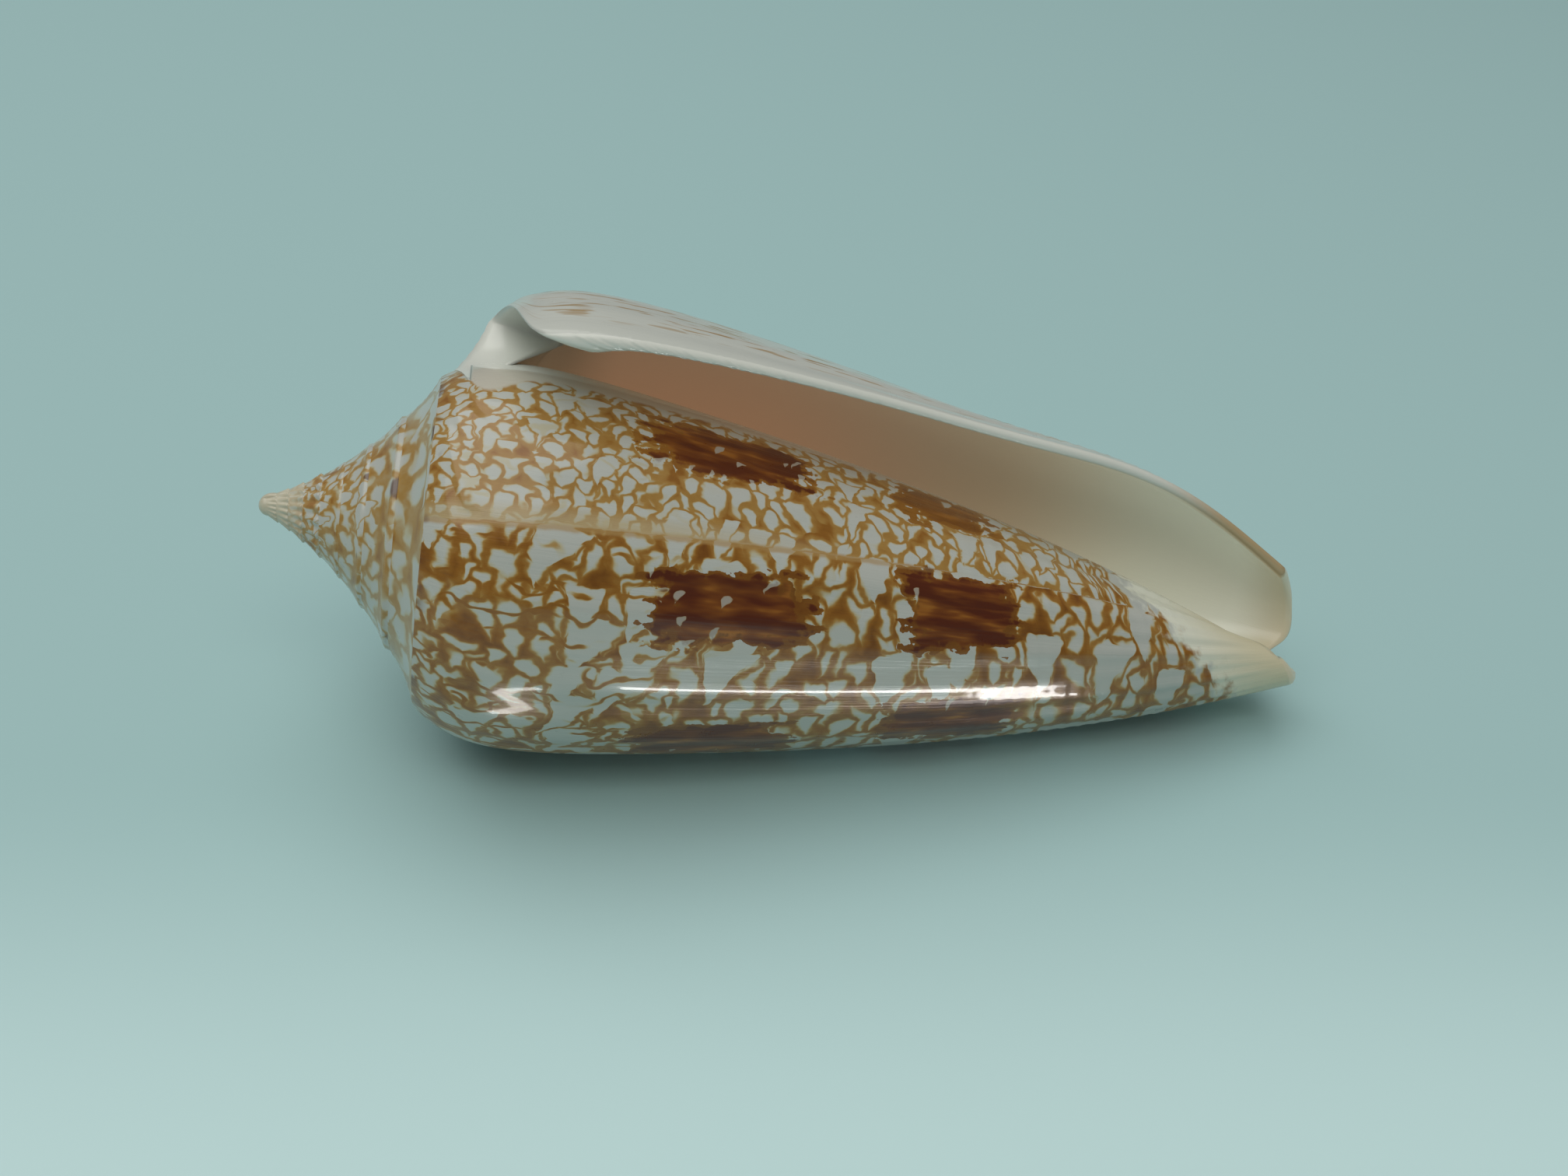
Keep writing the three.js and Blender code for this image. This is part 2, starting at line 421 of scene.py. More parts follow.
def roof_ends(column):
    """Where the pocket's roof meets its two walls."""
    first = (ROOF_ROW / BODY_ROWS) ** ROW_CROWDING
    v = np.full_like(column, first)
    t = swept(column + 1, v)
    inner = wound(along_axis(t, v), outer_radius(t, v), t)
    return inner_point(column, 0 * column), inner


def roof_place(share, row):
    column = POCKET_TURNS * share
    outer, inner = roof_ends(column)
    point = outer + (inner - outer) * row[:, None]
    return point, unrolled(column, 0 * row), np.stack([column, 0 * row], axis=-1)


def blind_place(across, row):
    """The end of the pocket, far behind the aperture."""
    v = parietal_rows(row) ** ROW_CROWDING
    column = np.full_like(v, POCKET_TURNS)
    t = swept(column + 1, v)
    outer, inner = inner_point(column, v), wound(along_axis(t, v), outer_radius(t, v), t)
    point = outer + (inner - outer) * across[:, None]
    return point, unrolled(column, 0 * v), np.stack([column, v], axis=-1)


def half_round(first, second, outward, share):
    """A rounded edge from one point to another, bulging by about half the lip's thickness."""
    middle = (first + second) / 2
    half = (first - second) / 2
    size = np.minimum(2 * np.linalg.norm(half, axis=1), LIP_THICKNESS)[:, None]
    angle = (math.pi * share)[:, None]
    return middle + half * np.cos(angle) + outward * EDGE_BULGE * size * np.sin(angle)


def forward_of(t):
    """The direction of growth at t turns back from the lip."""
    angle = LIP_ANGLE - 2 * math.pi * t
    return np.stack([0 * t, -np.sin(angle), np.cos(angle)], axis=-1)


def corner_blend(forward, amount):
    mixed = forward * (1 - 0.5 * amount[:, None]) + np.array([1.0, 0, 0]) * 0.5 * amount[:, None]
    return mixed / np.linalg.norm(mixed, axis=1)[:, None]


def lip_place(row, share):
    """The lip's rounded edge, from the shoulder down to the siphonal end."""
    v = row**ROW_CROWDING
    zero = 0 * v
    t = swept(zero, v)
    outward = corner_blend(forward_of(t), smooth_step(v, EDGE_TURNS_FROM, 1.0))
    outer = wound(along_axis(t, v), outer_radius(t, v), t)
    point = half_round(outer, inner_point(zero, v), outward, share)
    return point, unrolled(t, zero), np.stack([zero, v], axis=-1)


def rim_place(share, across):
    """The rounded rim at the siphonal end."""
    column = POCKET_TURNS * share
    one = np.ones_like(column)
    t = swept(column, one)
    axial = np.stack([one, 0 * t, 0 * t], axis=-1)
    turning = corner_blend(forward_of(t), one)
    amount = smooth_step(share, 0, RIM_TURNS_UNTIL)[:, None]
    outward = turning * (1 - amount) + axial * amount
    outer = wound(along_axis(t, one), outer_radius(t, one), t)
    point = half_round(outer, inner_point(column, one), outward, across)
    return point, unrolled(t, 0 * t), np.stack([column, one], axis=-1)


def sinus_place(row, share):
    """The edge of the sinus, across the end of the ramp to the suture."""
    zero = 0 * row
    a, r, t = between(shoulder_at(zero), foot_at(zero), row)
    dip = RAMP_DIP * 4 * row * (1 - row)
    threads = THREAD_HEIGHT * np.sin(2 * math.pi * THREADS_ON_RAMP * row) ** 2
    outer = wound(a + dip - threads, r, t)
    first, last = roof_ends(zero)
    inner = first + (last - first) * row[:, None]
    outward = forward_of(t) * (1 - row[:, None])
    return half_round(outer, inner, outward, share), unrolled(t, zero), np.stack([zero, zero], axis=-1)


def sheet(columns, rows, place, material):
    """A flat grid of columns by rows, wound into place. The law also gives its two UV maps."""
    bpy.ops.object.select_all(action="DESELECT")
    bpy.ops.mesh.primitive_grid_add(x_subdivisions=columns, y_subdivisions=rows, size=1, calc_uvs=False)
    piece = bpy.context.active_object
    mesh = piece.data
    flat = np.empty(3 * len(mesh.vertices))
    mesh.vertices.foreach_get("co", flat)
    flat = flat.reshape(-1, 3) + 0.5
    across = np.round(flat[:, 0] * columns) / columns
    along = np.round(flat[:, 1] * rows) / rows
    points, lay, stage = place(across, along)
    mesh.vertices.foreach_set("co", (points * MM).ravel())
    corners = np.empty(len(mesh.loops), dtype=np.int32)
    mesh.loops.foreach_get("vertex_index", corners)
    for name, values in (("lay", lay), ("growth", stage)):
        layer = mesh.uv_layers.new(name=name)
        layer.data.foreach_set("uv", values[corners].ravel())
    mesh.materials.append(material)
    mesh.update()
    return piece


def join_sheets(pieces, name):
    bpy.ops.object.select_all(action="DESELECT")
    for piece in pieces:
        piece.select_set(True)
    bpy.context.view_layer.objects.active = pieces[0]
    bpy.ops.object.join()
    whole = bpy.context.active_object
    whole.name = name
    whole.data.name = name
    return whole


def first_opening(bm):
    """The edges round the opening that comes first in the mesh, so that the order is always the same."""
    start = next((edge for edge in bm.edges if edge.is_boundary), None)
    loop = [start] if start else []
    for edge in loop:
        for vert in edge.verts:
            loop += [near for near in vert.link_edges if near.is_boundary and near not in loop]
    return loop


def close_openings(mesh):
    """Fills the tip, the end of the suture, the blind end and the siphonal rim, one after the other."""
    bpy.ops.mesh.select_mode(type="EDGE")
    while True:
        bpy.ops.mesh.select_all(action="DESELECT")
        bm = bmesh.from_edit_mesh(mesh)
        loop = first_opening(bm)
        if not loop:
            return
        for edge in loop:
            edge.select_set(True)
        bmesh.update_edit_mesh(mesh)
        before = len(bm.faces)
        bpy.ops.mesh.fill(use_beauty=True)
        if len(bmesh.from_edit_mesh(mesh).faces) == before:
            return


def share_maps(mesh, first_new):
    """Gives the filling faces the UV places that their corners have on the faces round them."""
    corners = np.empty(len(mesh.loops), dtype=np.int32)
    mesh.loops.foreach_get("vertex_index", corners)
    start = mesh.polygons[first_new].loop_start if first_new < len(mesh.polygons) else len(corners)
    for layer in mesh.uv_layers:
        places = np.empty(2 * len(corners))
        layer.data.foreach_get("uv", places)
        places = places.reshape(-1, 2)
        known = np.zeros((len(mesh.vertices), 2))
        known[corners[:start]] = places[:start]
        places[start:] = known[corners[start:]]
        layer.data.foreach_set("uv", places.ravel())


def lay_down(piece):
    """Tilts the shell onto its side, and puts it where the solid lies, on its rest patch."""
    mesh = piece.data
    mesh.transform(Matrix.Rotation(AXIS_TILT, 4, "Y"))
    places = np.empty(3 * len(mesh.vertices))
    mesh.vertices.foreach_get("co", places)
    places = places.reshape(-1, 3)
    low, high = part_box("shell")
    lowest, highest = places.min(axis=0), places.max(axis=0)
    places[:, 0] += low.x - lowest[0]
    places[:, 1] += (low.y + high.y - lowest[1] - highest[1]) / 2
    height = places[:, 2] - lowest[2] - REST_PATCH_DEPTH * MM
    places[:, 2] = (height + np.hypot(height, PATCH_ROUNDING * MM)) / 2
    mesh.vertices.foreach_set("co", places.ravel())
    mesh.update()


def model_shell(outside, inside):
    pocket_columns = round(POCKET_TURNS * TURN_COLUMNS)
    spire_columns = (WHORLS - 1) * TURN_COLUMNS
    parietal = BODY_ROWS - ROOF_ROW
    sheets = [
        sheet(TURN_COLUMNS, BODY_ROWS, body_place, outside),
        sheet(spire_columns, RAMP_ROWS, ramp_place, outside),
        sheet(spire_columns, STEP_ROWS, step_place, outside),
        sheet(TURN_COLUMNS, DOME_ROWS, dome_place, outside),
        sheet(pocket_columns, BODY_ROWS, pocket_place, inside),
        sheet(MARKED_COLUMNS, parietal, marked_place, outside),
        sheet(pocket_columns - MARKED_COLUMNS, parietal, parietal_place, inside),
        sheet(pocket_columns, RAMP_ROWS, roof_place, inside),
        sheet(EDGE_ROWS, parietal, blind_place, inside),
        sheet(BODY_ROWS, EDGE_ROWS, lip_place, inside),
        sheet(pocket_columns, EDGE_ROWS, rim_place, inside),
        sheet(RAMP_ROWS, EDGE_ROWS, sinus_place, inside),
    ]
    shell = join_sheets(sheets, "shell_skin")
    bpy.ops.object.mode_set(mode="EDIT")
    bpy.ops.mesh.select_all(action="SELECT")
    bpy.ops.mesh.remove_doubles(threshold=WELD * MM)
    bpy.ops.object.mode_set(mode="OBJECT")
    first_new = len(shell.data.polygons)
    bpy.ops.object.mode_set(mode="EDIT")
    close_openings(shell.data)
    bpy.ops.object.mode_set(mode="OBJECT")
    share_maps(shell.data, first_new)
    bpy.ops.object.mode_set(mode="EDIT")
    bpy.ops.mesh.select_all(action="SELECT")
    bpy.ops.mesh.normals_make_consistent(inside=False)
    bpy.ops.object.mode_set(mode="OBJECT")
    bpy.ops.object.shade_smooth()
    lay_down(shell)
    return shell


def colour(red, green, blue):
    """A colour as seen on a screen, 0 to 255, turned into light."""
    def light(part):
        part = part / 255
        return part / 12.92 if part <= 0.04045 else ((part + 0.055) / 1.055) ** 2.4

    return (light(red), light(green), light(blue), 1.0)


class Graph:
    """Short names for the nodes that the materials are made of."""

    def __init__(self, tree):
        self.tree = tree
        self.place = 0

    def node(self, kind, **settings):
        node = self.tree.nodes.new(kind)
        self.place += 1
        node.location = (200 * (self.place % 12), -220 * (self.place // 12))
        for name, value in settings.items():
            setattr(node, name, value)
        return node

    def feed(self, socket, value):
        if isinstance(value, bpy.types.NodeSocket):
            self.tree.links.new(value, socket)
        else:
            socket.default_value = value

    def math(self, operation, *values, clamp=False):
        node = self.node("ShaderNodeMath", operation=operation, use_clamp=clamp)
        for socket, value in zip(node.inputs, values):
            self.feed(socket, value)
        return node.outputs[0]

    def vector(self, operation, *values):
        node = self.node("ShaderNodeVectorMath", operation=operation)
        sockets = [socket for socket in node.inputs if socket.name != "Scale"]
        if operation == "SCALE":
            sockets = [node.inputs[0], node.inputs["Scale"]]
        for socket, value in zip(sockets, values):
            self.feed(socket, value)
        return node.outputs["Value" if operation in ("DOT_PRODUCT", "LENGTH") else "Vector"]

    def split(self, vector):
        node = self.node("ShaderNodeSeparateXYZ")
        self.feed(node.inputs[0], vector)
        return node.outputs

    def merge(self, x, y, z=0.0):
        node = self.node("ShaderNodeCombineXYZ")
        for socket, value in zip(node.inputs, (x, y, z)):
            self.feed(socket, value)
        return node.outputs[0]

    def step(self, value, low, high):
        """0 below low, 1 above high, smooth between them."""
        node = self.node("ShaderNodeMapRange", interpolation_type="SMOOTHSTEP")
        self.feed(node.inputs["Value"], value)
        self.feed(node.inputs["From Min"], low)
        self.feed(node.inputs["From Max"], high)
        return node.outputs["Result"]

    def fade(self, value, low, high):
        """1 below low, 0 above high."""
        return self.math("SUBTRACT", 1.0, self.step(value, low, high))

    def band(self, value, middle, half, soft):
        """1 within half of the middle, 0 beyond half and soft."""
        away = self.math("ABSOLUTE", self.math("SUBTRACT", value, middle))
        return self.fade(away, half, half + soft)

    def mix(self, share, first, second):
        node = self.node("ShaderNodeMix", data_type="RGBA")
        self.feed(node.inputs["Factor"], share)
        self.feed(node.inputs[6], first)
        self.feed(node.inputs[7], second)
        return node.outputs[2]

    def blend(self, share, first, second):
        node = self.node("ShaderNodeMix", data_type="FLOAT")
        self.feed(node.inputs["Factor"], share)
        self.feed(node.inputs[2], first)
        self.feed(node.inputs[3], second)
        return node.outputs[0]

    def noise(self, vector, scale, detail=2.0, roughness=0.5):
        node = self.node("ShaderNodeTexNoise", noise_dimensions="3D")
        self.feed(node.inputs["Vector"], vector)
        self.feed(node.inputs["Scale"], scale)
        self.feed(node.inputs["Detail"], detail)
        self.feed(node.inputs["Roughness"], roughness)
        return node.outputs

    def map(self, name):
        return self.node("ShaderNodeUVMap", uv_map=name).outputs[0]

    def use(self, group, **values):
        node = self.node("ShaderNodeGroup", node_tree=group)
        for name, value in values.items():
            self.feed(node.inputs[name], value)
        return node.outputs


def new_group(name, inputs, outputs):
    """A node group with named sockets. Returns it, its graph, and its inner input and output sockets."""
    group = bpy.data.node_groups.new(name, "ShaderNodeTree")
    for direction, sockets in (("INPUT", inputs), ("OUTPUT", outputs)):
        for title, kind in sockets.items():
            group.interface.new_socket(name=title, in_out=direction, socket_type="NodeSocket" + kind)
    graph = Graph(group)
    entry = graph.node("NodeGroupInput").outputs
    leave = graph.node("NodeGroupOutput").inputs
    return group, graph, entry, leave


def tent_group():
    """One tent mark: a rounded triangle, flat behind and pointed in the direction of growth.
    First and Second carry the two smallest distances found so far over the tents around a point."""
    group, g, entry, leave = new_group(
        "tent mark",
        {"Point": "Vector", "Cell": "Vector", "Step": "Vector", "Forward": "Vector", "Sideways": "Vector",
         "Size": "Float", "Presence": "Float", "First": "Float", "Second": "Float"},
        {"First": "Float", "Second": "Float"},
    )
    corner = g.vector("ADD", entry["Cell"], entry["Step"])
    chance = g.node("ShaderNodeTexWhiteNoise", noise_dimensions="3D")
    g.feed(chance.inputs["Vector"], corner)
    jitter = g.vector("SCALE", g.vector("SUBTRACT", chance.outputs["Color"], (0.5, 0.5, 0.5)), TENT_JITTER)
    middle = g.vector("ADD", corner, (0.5, 0.5, 0.0))
    middle = g.vector("ADD", middle, g.vector("MULTIPLY", jitter, (1, 1, 0)))
    away = g.vector("SUBTRACT", entry["Point"], middle)
    forward = g.vector("DOT_PRODUCT", away, entry["Forward"])
    sideways = g.vector("DOT_PRODUCT", away, entry["Sideways"])
    parts = g.split(chance.outputs["Color"])
    lean = g.math("MULTIPLY", g.math("SUBTRACT", parts[0], 0.5), TENT_LEAN)
    width = g.math("ABSOLUTE", g.math("MULTIPLY_ADD", forward, lean, sideways))
    behind = g.math("MULTIPLY", forward, -1 / TENT_BACK)
    ahead = g.math("MULTIPLY_ADD", width, 1 / TENT_SIDE, g.math("MULTIPLY", forward, 1 / TENT_POINT))
    reach = g.math("SMOOTH_MAX", behind, ahead, TENT_ROUNDING)
    size = g.math("MULTIPLY", g.blend(parts[2], TENT_SMALLEST, TENT_LARGEST), entry["Size"])
    here = g.math("LESS_THAN", chance.outputs["Value"], entry["Presence"])
    distance = g.math("DIVIDE", reach, g.math("MULTIPLY_ADD", size, here, 0.001))
    runner_up = g.math("MAXIMUM", entry["First"], distance)
    g.feed(leave["Second"], g.math("MINIMUM", entry["Second"], runner_up))
    g.feed(leave["First"], g.math("MINIMUM", entry["First"], distance))
    return group


def tents_group(tent):
    """The tents over a whole surface, on a jittered grid of cells."""
    group, g, entry, leave = new_group(
        "tent field",
        {"Place": "Vector", "Forward": "Vector", "Sideways": "Vector", "Cell Size": "Float", "Size": "Float",
         "Presence": "Float", "Seed": "Float"},
        {"First": "Float", "Second": "Float"},
    )
    point = g.vector("DIVIDE", entry["Place"], g.merge(entry["Cell Size"], entry["Cell Size"], 1.0))
    cell = g.vector("ADD", g.vector("FLOOR", point), g.merge(0.0, 0.0, entry["Seed"]))
    first, second = NO_TENT_YET, NO_TENT_YET
    point = g.vector("ADD", point, g.merge(0.0, 0.0, entry["Seed"]))
    for along in (-1, 0, 1):
        for across in (-1, 0, 1):
            found = g.use(
                tent, Point=point, Cell=cell, Step=(along, across, 0), Forward=entry["Forward"],
                Sideways=entry["Sideways"], Size=entry["Size"], Presence=entry["Presence"], First=first,
                Second=second,
            )
            first, second = found["First"], found["Second"]
    g.feed(leave["First"], first)
    g.feed(leave["Second"], second)
    return group


def blotch_group():
    """A row of dark blotches round the shell, at one height, a set share of a turn apart."""
    group, g, entry, leave = new_group(
        "blotch row",
        {"Column": "Float", "Share": "Float", "Start": "Float", "Spacing": "Float", "Middle": "Float",
         "Half Turn": "Float", "Half Share": "Float", "Ragged": "Float"},
        {"Mask": "Float"},
    )
    turns = g.math("DIVIDE", g.math("SUBTRACT", entry["Column"], entry["Start"]), entry["Spacing"])
    nearest = g.math("ROUND", turns)
    chance = g.node("ShaderNodeTexWhiteNoise", noise_dimensions="2D")
    g.feed(chance.inputs["Vector"], g.merge(nearest, entry["Middle"]))
    bigger = g.math("MULTIPLY_ADD", chance.outputs["Value"], 0.5, 0.75)
    across = g.math("MULTIPLY", g.math("SUBTRACT", turns, nearest), entry["Spacing"])
    across = g.math("DIVIDE", g.math("ABSOLUTE", across), entry["Half Turn"])
    along = g.math("SUBTRACT", entry["Share"], entry["Middle"])
    along = g.math("DIVIDE", g.math("ABSOLUTE", along), g.math("MULTIPLY", entry["Half Share"], bigger))
    edge = g.math("ADD", g.math("SMOOTH_MAX", across, along, 1.0), entry["Ragged"])
    g.feed(leave["Mask"], g.fade(edge, 0.66, 1.4))
    return group


def growth_line_group():
    """Fine lines of growth, parallel to the lip, as a height."""
    group, g, entry, leave = new_group("growth lines", {"Lay": "Vector"}, {"Height": "Float"})
    lay = entry["Lay"]
    reach = g.vector("LENGTH", lay)
    parts = g.split(lay)
    angle = g.math("ARCTAN2", parts[1], parts[0])
    across = g.math("MULTIPLY", angle, LINE_STRETCH)
    place = g.merge(across, g.math("MULTIPLY", reach, 0.12))
    fine = g.noise(place, 1.0, 3.0, 0.65)[0]
    broad = g.noise(place, 0.22, 1.0)[0]
    g.feed(leave["Height"], g.math("MULTIPLY_ADD", broad, 0.7, fine))
    return group


def frame_of(g, lay):
    """Unit vectors on the markings' plane: towards the shoulder, and forward with growth."""
    outward = g.vector("NORMALIZE", lay)
    parts = g.split(outward)
    return outward, g.merge(parts[1], g.math("MULTIPLY", parts[0], -1.0))


WHITE = colour(182, 185, 178)
IVORY = colour(181, 174, 144)
GOLD = colour(164, 128, 66)
TAN = colour(140, 93, 30)
BROWN = colour(110, 64, 12)
TENT_PAINTS = ((0.0, WHITE), (0.26, IVORY), (0.48, GOLD), (0.7, TAN), (1.0, BROWN))
BLOTCH_BROWN = colour(82, 32, 6)
BLOTCH_RUST = colour(122, 68, 18)
BLOTCH_GOLD = colour(156, 100, 34)
BLOTCH_HAZE = colour(132, 106, 88)
SCAR_GOLD = colour(168, 136, 82)
SCAR_WORN = colour(180, 166, 130)
CANAL_WHITE = colour(222, 224, 208)
CANAL_CREAM = colour(212, 204, 172)
LIP_BARE = colour(196, 200, 192)
LIP_DASH = colour(158, 124, 66)
OLD_LIP = colour(190, 186, 172)
SHOULDER_MARK = colour(84, 50, 36)
TIP_CREAM = colour(194, 190, 168)
FLESH_DEEP = colour(236, 204, 176)
FLESH_MIDDLE = colour(226, 208, 182)
FLESH_PALE = colour(226, 228, 214)
FLESH_END = colour(198, 188, 158)
FLESH_SHOULDER = colour(222, 208, 180)
RIM_WHITE = colour(214, 217, 208)
RIM_STAIN = colour(172, 138, 76)
GLOW_DEEP = colour(158, 140, 116)
GLOW_MIDDLE = colour(142, 134, 116)
GLOW_PALE = colour(150, 150, 134)
# The table's colour, and the paler colour of the painted light on its front
TABLE_FAR = colour(168, 202, 202)
TABLE_PAINTED_LIGHT = colour(200, 230, 230)
BLACK = (0, 0, 0, 1)


def new_material(name):
    """A material, its graph and its shader."""
    material = bpy.data.materials.new(name)
    material.use_nodes = True
    return material, Graph(material.node_tree), material.node_tree.nodes["Principled BSDF"]


def raise_growth_lines(g, shader, lines, lay, strength, depth):
    """Lets the growth lines stand out, by a depth in metres."""
    bump = g.node("ShaderNodeBump")
    bump.inputs["Strength"].default_value = strength
    bump.inputs["Distance"].default_value = depth
    g.feed(bump.inputs["Height"], g.use(lines, Lay=lay)["Height"])
    g.feed(shader.inputs["Normal"], bump.outputs[0])


def paint_ramp(g, shade):
    """From the white of a tent's middle through cream and gold to the brown between the tents."""
    node = g.node("ShaderNodeValToRGB")
    ramp = node.color_ramp
    for place, _ in TENT_PAINTS[1:-1]:
        ramp.elements.new(place)
    for element, (place, tint) in zip(ramp.elements, TENT_PAINTS):
        element.position = place
        element.color = tint
    g.feed(node.inputs[0], shade)
    return node.outputs[0]


class OutsidePlace:
    """Where a point of the outside lies, and the noises that its marks share."""

    def __init__(self, g):
        self.lay = g.map("lay")
        stage = g.split(g.map("growth"))
        self.column, self.share = stage[0], stage[1]
        self.outward, self.forward = frame_of(g, self.lay)
        parts = g.split(self.lay)
        self.turn = g.math("DIVIDE", g.math("ARCTAN2", parts[1], parts[0]), UNROLL_TURN)
        self.spire = g.step(g.math("MULTIPLY", self.share, -1.0), 0.001, 0.004)
        self.patchy = g.noise(self.lay, 0.36, 2.0)[0]
        self.grainy = g.noise(self.lay, 1.4, 3.0)[0]
        self.wobble = g.math("SUBTRACT", self.grainy, 0.5)
        across = g.math("MULTIPLY", self.turn, STREAKS_PER_TURN)
        along = g.math("MULTIPLY", self.share, STREAKS_ALONG)
        self.streaky = g.noise(g.merge(across, along), 1.0, 2.0)[0]

        scar_line = g.math("MULTIPLY_ADD", self.share, SCAR_SLANT, SCAR_TURN)
        scar_line = g.math("MULTIPLY_ADD", self.wobble, SCAR_WOBBLE, scar_line)
        self.past_scar = g.math("SUBTRACT", self.turn, scar_line)
        older = g.math("MULTIPLY", g.step(self.past_scar, *BEHIND_SCAR), g.fade(self.share, 0.75, 0.85))
        self.older = g.math("MULTIPLY", older, g.fade(self.spire, 0.4, 0.6))


def blotch_masks(g, blotches, at):
    """Where the blotches are: with their soft borders, and their cores only."""
    ragged = g.math("MULTIPLY_ADD", at.streaky, 1.3, g.math("MULTIPLY_ADD", at.grainy, 1.2, -1.4))
    rows = []
    for start, spacing, middle, half_turn, half_share in (UPPER_BLOTCHES, LOWER_BLOTCHES):
        halves = {"Half Turn": half_turn, "Half Share": half_share}
        row = g.use(blotches, Column=at.column, Share=at.share, Start=start, Spacing=spacing,
                    Middle=middle, Ragged=ragged, **halves)
        rows.append(row["Mask"])
    upper, lower = rows
    paler = g.math("MULTIPLY_ADD", g.step(at.column, *LOWER_PALER_PAST), -0.45, 1.0)
    lower = g.math("MULTIPLY", lower, paler)
    dark = g.math("MULTIPLY", g.math("MAXIMUM", upper, lower), g.step(at.column, 0.1, 0.16))
    return g.step(dark, 0.04, 0.4), g.step(dark, 0.4, 0.72)


def tent_shade(g, tents, at, dark):
    """How brown the paint is, from 0 in a tent's middle: small tents everywhere, big ones here and there."""
    wander = g.vector("SUBTRACT", g.noise(at.lay, 0.7, 1.0)[1], (0.5, 0.5, 0.5))
    quiver = g.vector("SUBTRACT", g.noise(at.lay, 1.9, 1.0)[1], (0.5, 0.5, 0.5))
    place = g.vector("ADD", at.lay, g.vector("MULTIPLY", wander, (WANDER, WANDER, 0)))
    place = g.vector("ADD", place, g.vector("MULTIPLY", quiver, (QUIVER, QUIVER, 0)))
    ways = {"Place": place, "Forward": at.forward, "Sideways": at.outward}
    older = at.older

    size = g.math("MULTIPLY_ADD", at.patchy, 0.9, g.blend(older, 0.5, 0.68))
    size = g.math("MULTIPLY", size, g.math("MULTIPLY_ADD", dark, -0.62, 1.0))
    presence = g.math("MULTIPLY_ADD", dark, -0.6, 0.93)
    cell = {"Cell Size": g.blend(older, g.blend(at.spire, 1.3, 1.55), 0.95)}
    small = g.use(tents, Size=size, Presence=presence, Seed=SMALL_TENT_SEED, **ways, **cell)
    size = g.blend(g.math("MAXIMUM", older, at.spire), 1.0, 0.6)
    presence = g.math("MULTIPLY_ADD", dark, -0.45, 0.45)
    cell = {"Cell Size": BIG_TENT_CELL}
    big = g.use(tents, Size=size, Presence=presence, Seed=BIG_TENT_SEED, **ways, **cell)

    line = g.math("MULTIPLY_ADD", g.noise(at.lay, 0.9, 1.0)[0], 0.9, g.blend(older, 0.02, -0.08))
    gap = g.math("SUBTRACT", small["Second"], small["First"])
    past_tent = g.math("SUBTRACT", small["First"], 1.0)
    beyond = g.math("SMOOTH_MAX", past_tent, g.math("SUBTRACT", line, gap), 1.0)
    brown = g.step(beyond, g.blend(older, -0.3, -0.18), g.blend(older, 0.34, 0.24))
    shade = g.math("MULTIPLY_ADD", g.step(small["First"], 1.1, 1.9), 0.24, g.math("MULTIPLY", brown, 0.66))
    rim = g.math("MULTIPLY", g.step(big["First"], 0.82, 1.04), g.fade(big["First"], 1.1, 1.3))
    shade = g.math("MAXIMUM", shade, g.math("MULTIPLY", rim, 0.62))
    return g.math("MINIMUM", shade, g.math("MULTIPLY", g.step(big["First"], 0.8, 1.04), 2.0))


def wave_shade(g, at):
    """Wavy lines along the axis, near the shoulder."""
    wave = g.math("MULTIPLY", at.turn, WAVES_PER_TURN)
    wave = g.math("MULTIPLY_ADD", g.noise(at.lay, 0.5, 2.0)[0], 2.6, wave)
    wave = g.fade(g.math("PINGPONG", wave, 0.5), 0.05, 0.17)
    near_shoulder = g.math("MULTIPLY", g.fade(at.share, 0.18, 0.34), g.step(at.share, 0.0, 0.02))
    wave = g.math("MULTIPLY", wave, g.math("MULTIPLY", near_shoulder, g.step(at.patchy, 0.42, 0.52)))
    return g.math("MULTIPLY", wave, g.math("SUBTRACT", 0.72, g.math("MULTIPLY", at.older, 0.5)))


def uneven(g, at, shade):
    """Paler on the older side and the spire, and patchy as paint grown day by day is."""
    shade = g.math("MULTIPLY", shade, g.math("SUBTRACT", 1.0, g.math("MULTIPLY", at.older, 0.2)))
    shade = g.math("MULTIPLY", shade, g.math("MULTIPLY_ADD", at.grainy, 0.5, 0.76))
    return g.math("MULTIPLY", shade, g.math("MULTIPLY_ADD", at.spire, -0.3, 1.0))


def with_blotches(g, at, paint, shade, core):
    deep = g.mix(g.step(at.streaky, 0.38, 0.66), BLOTCH_BROWN, BLOTCH_RUST)
    deep = g.mix(g.step(at.streaky, 0.56, 0.7), deep, BLOTCH_GOLD)
    inked = g.math("MULTIPLY", core, g.step(shade, 0.2, 0.45))
    paint = g.mix(inked, paint, deep)
    return g.mix(g.math("MULTIPLY", g.math("SUBTRACT", core, inked), 0.55), paint, BLOTCH_HAZE)


def with_scar(g, at, paint):
    """The gold line where growth once stopped, and the worn strip behind it."""
    below_spire = g.fade(at.spire, 0.1, 0.5)
    scar = g.fade(g.math("ABSOLUTE", at.past_scar), 0.0015, 0.005)
    scar = g.math("MULTIPLY", scar, g.math("MULTIPLY", g.fade(at.share, *SCAR_ENDS), below_spire))
    paint = g.mix(g.math("MULTIPLY", scar, 0.7), paint, SCAR_GOLD)
    worn = g.math("MULTIPLY", g.step(at.past_scar, *BEHIND_SCAR), g.fade(at.past_scar, 0.006, 0.02))
    worn = g.math("MULTIPLY", worn, g.math("MULTIPLY", g.fade(at.share, 0.2, 0.5), below_spire))
    return g.mix(g.math("MULTIPLY", worn, 0.6), paint, SCAR_WORN)


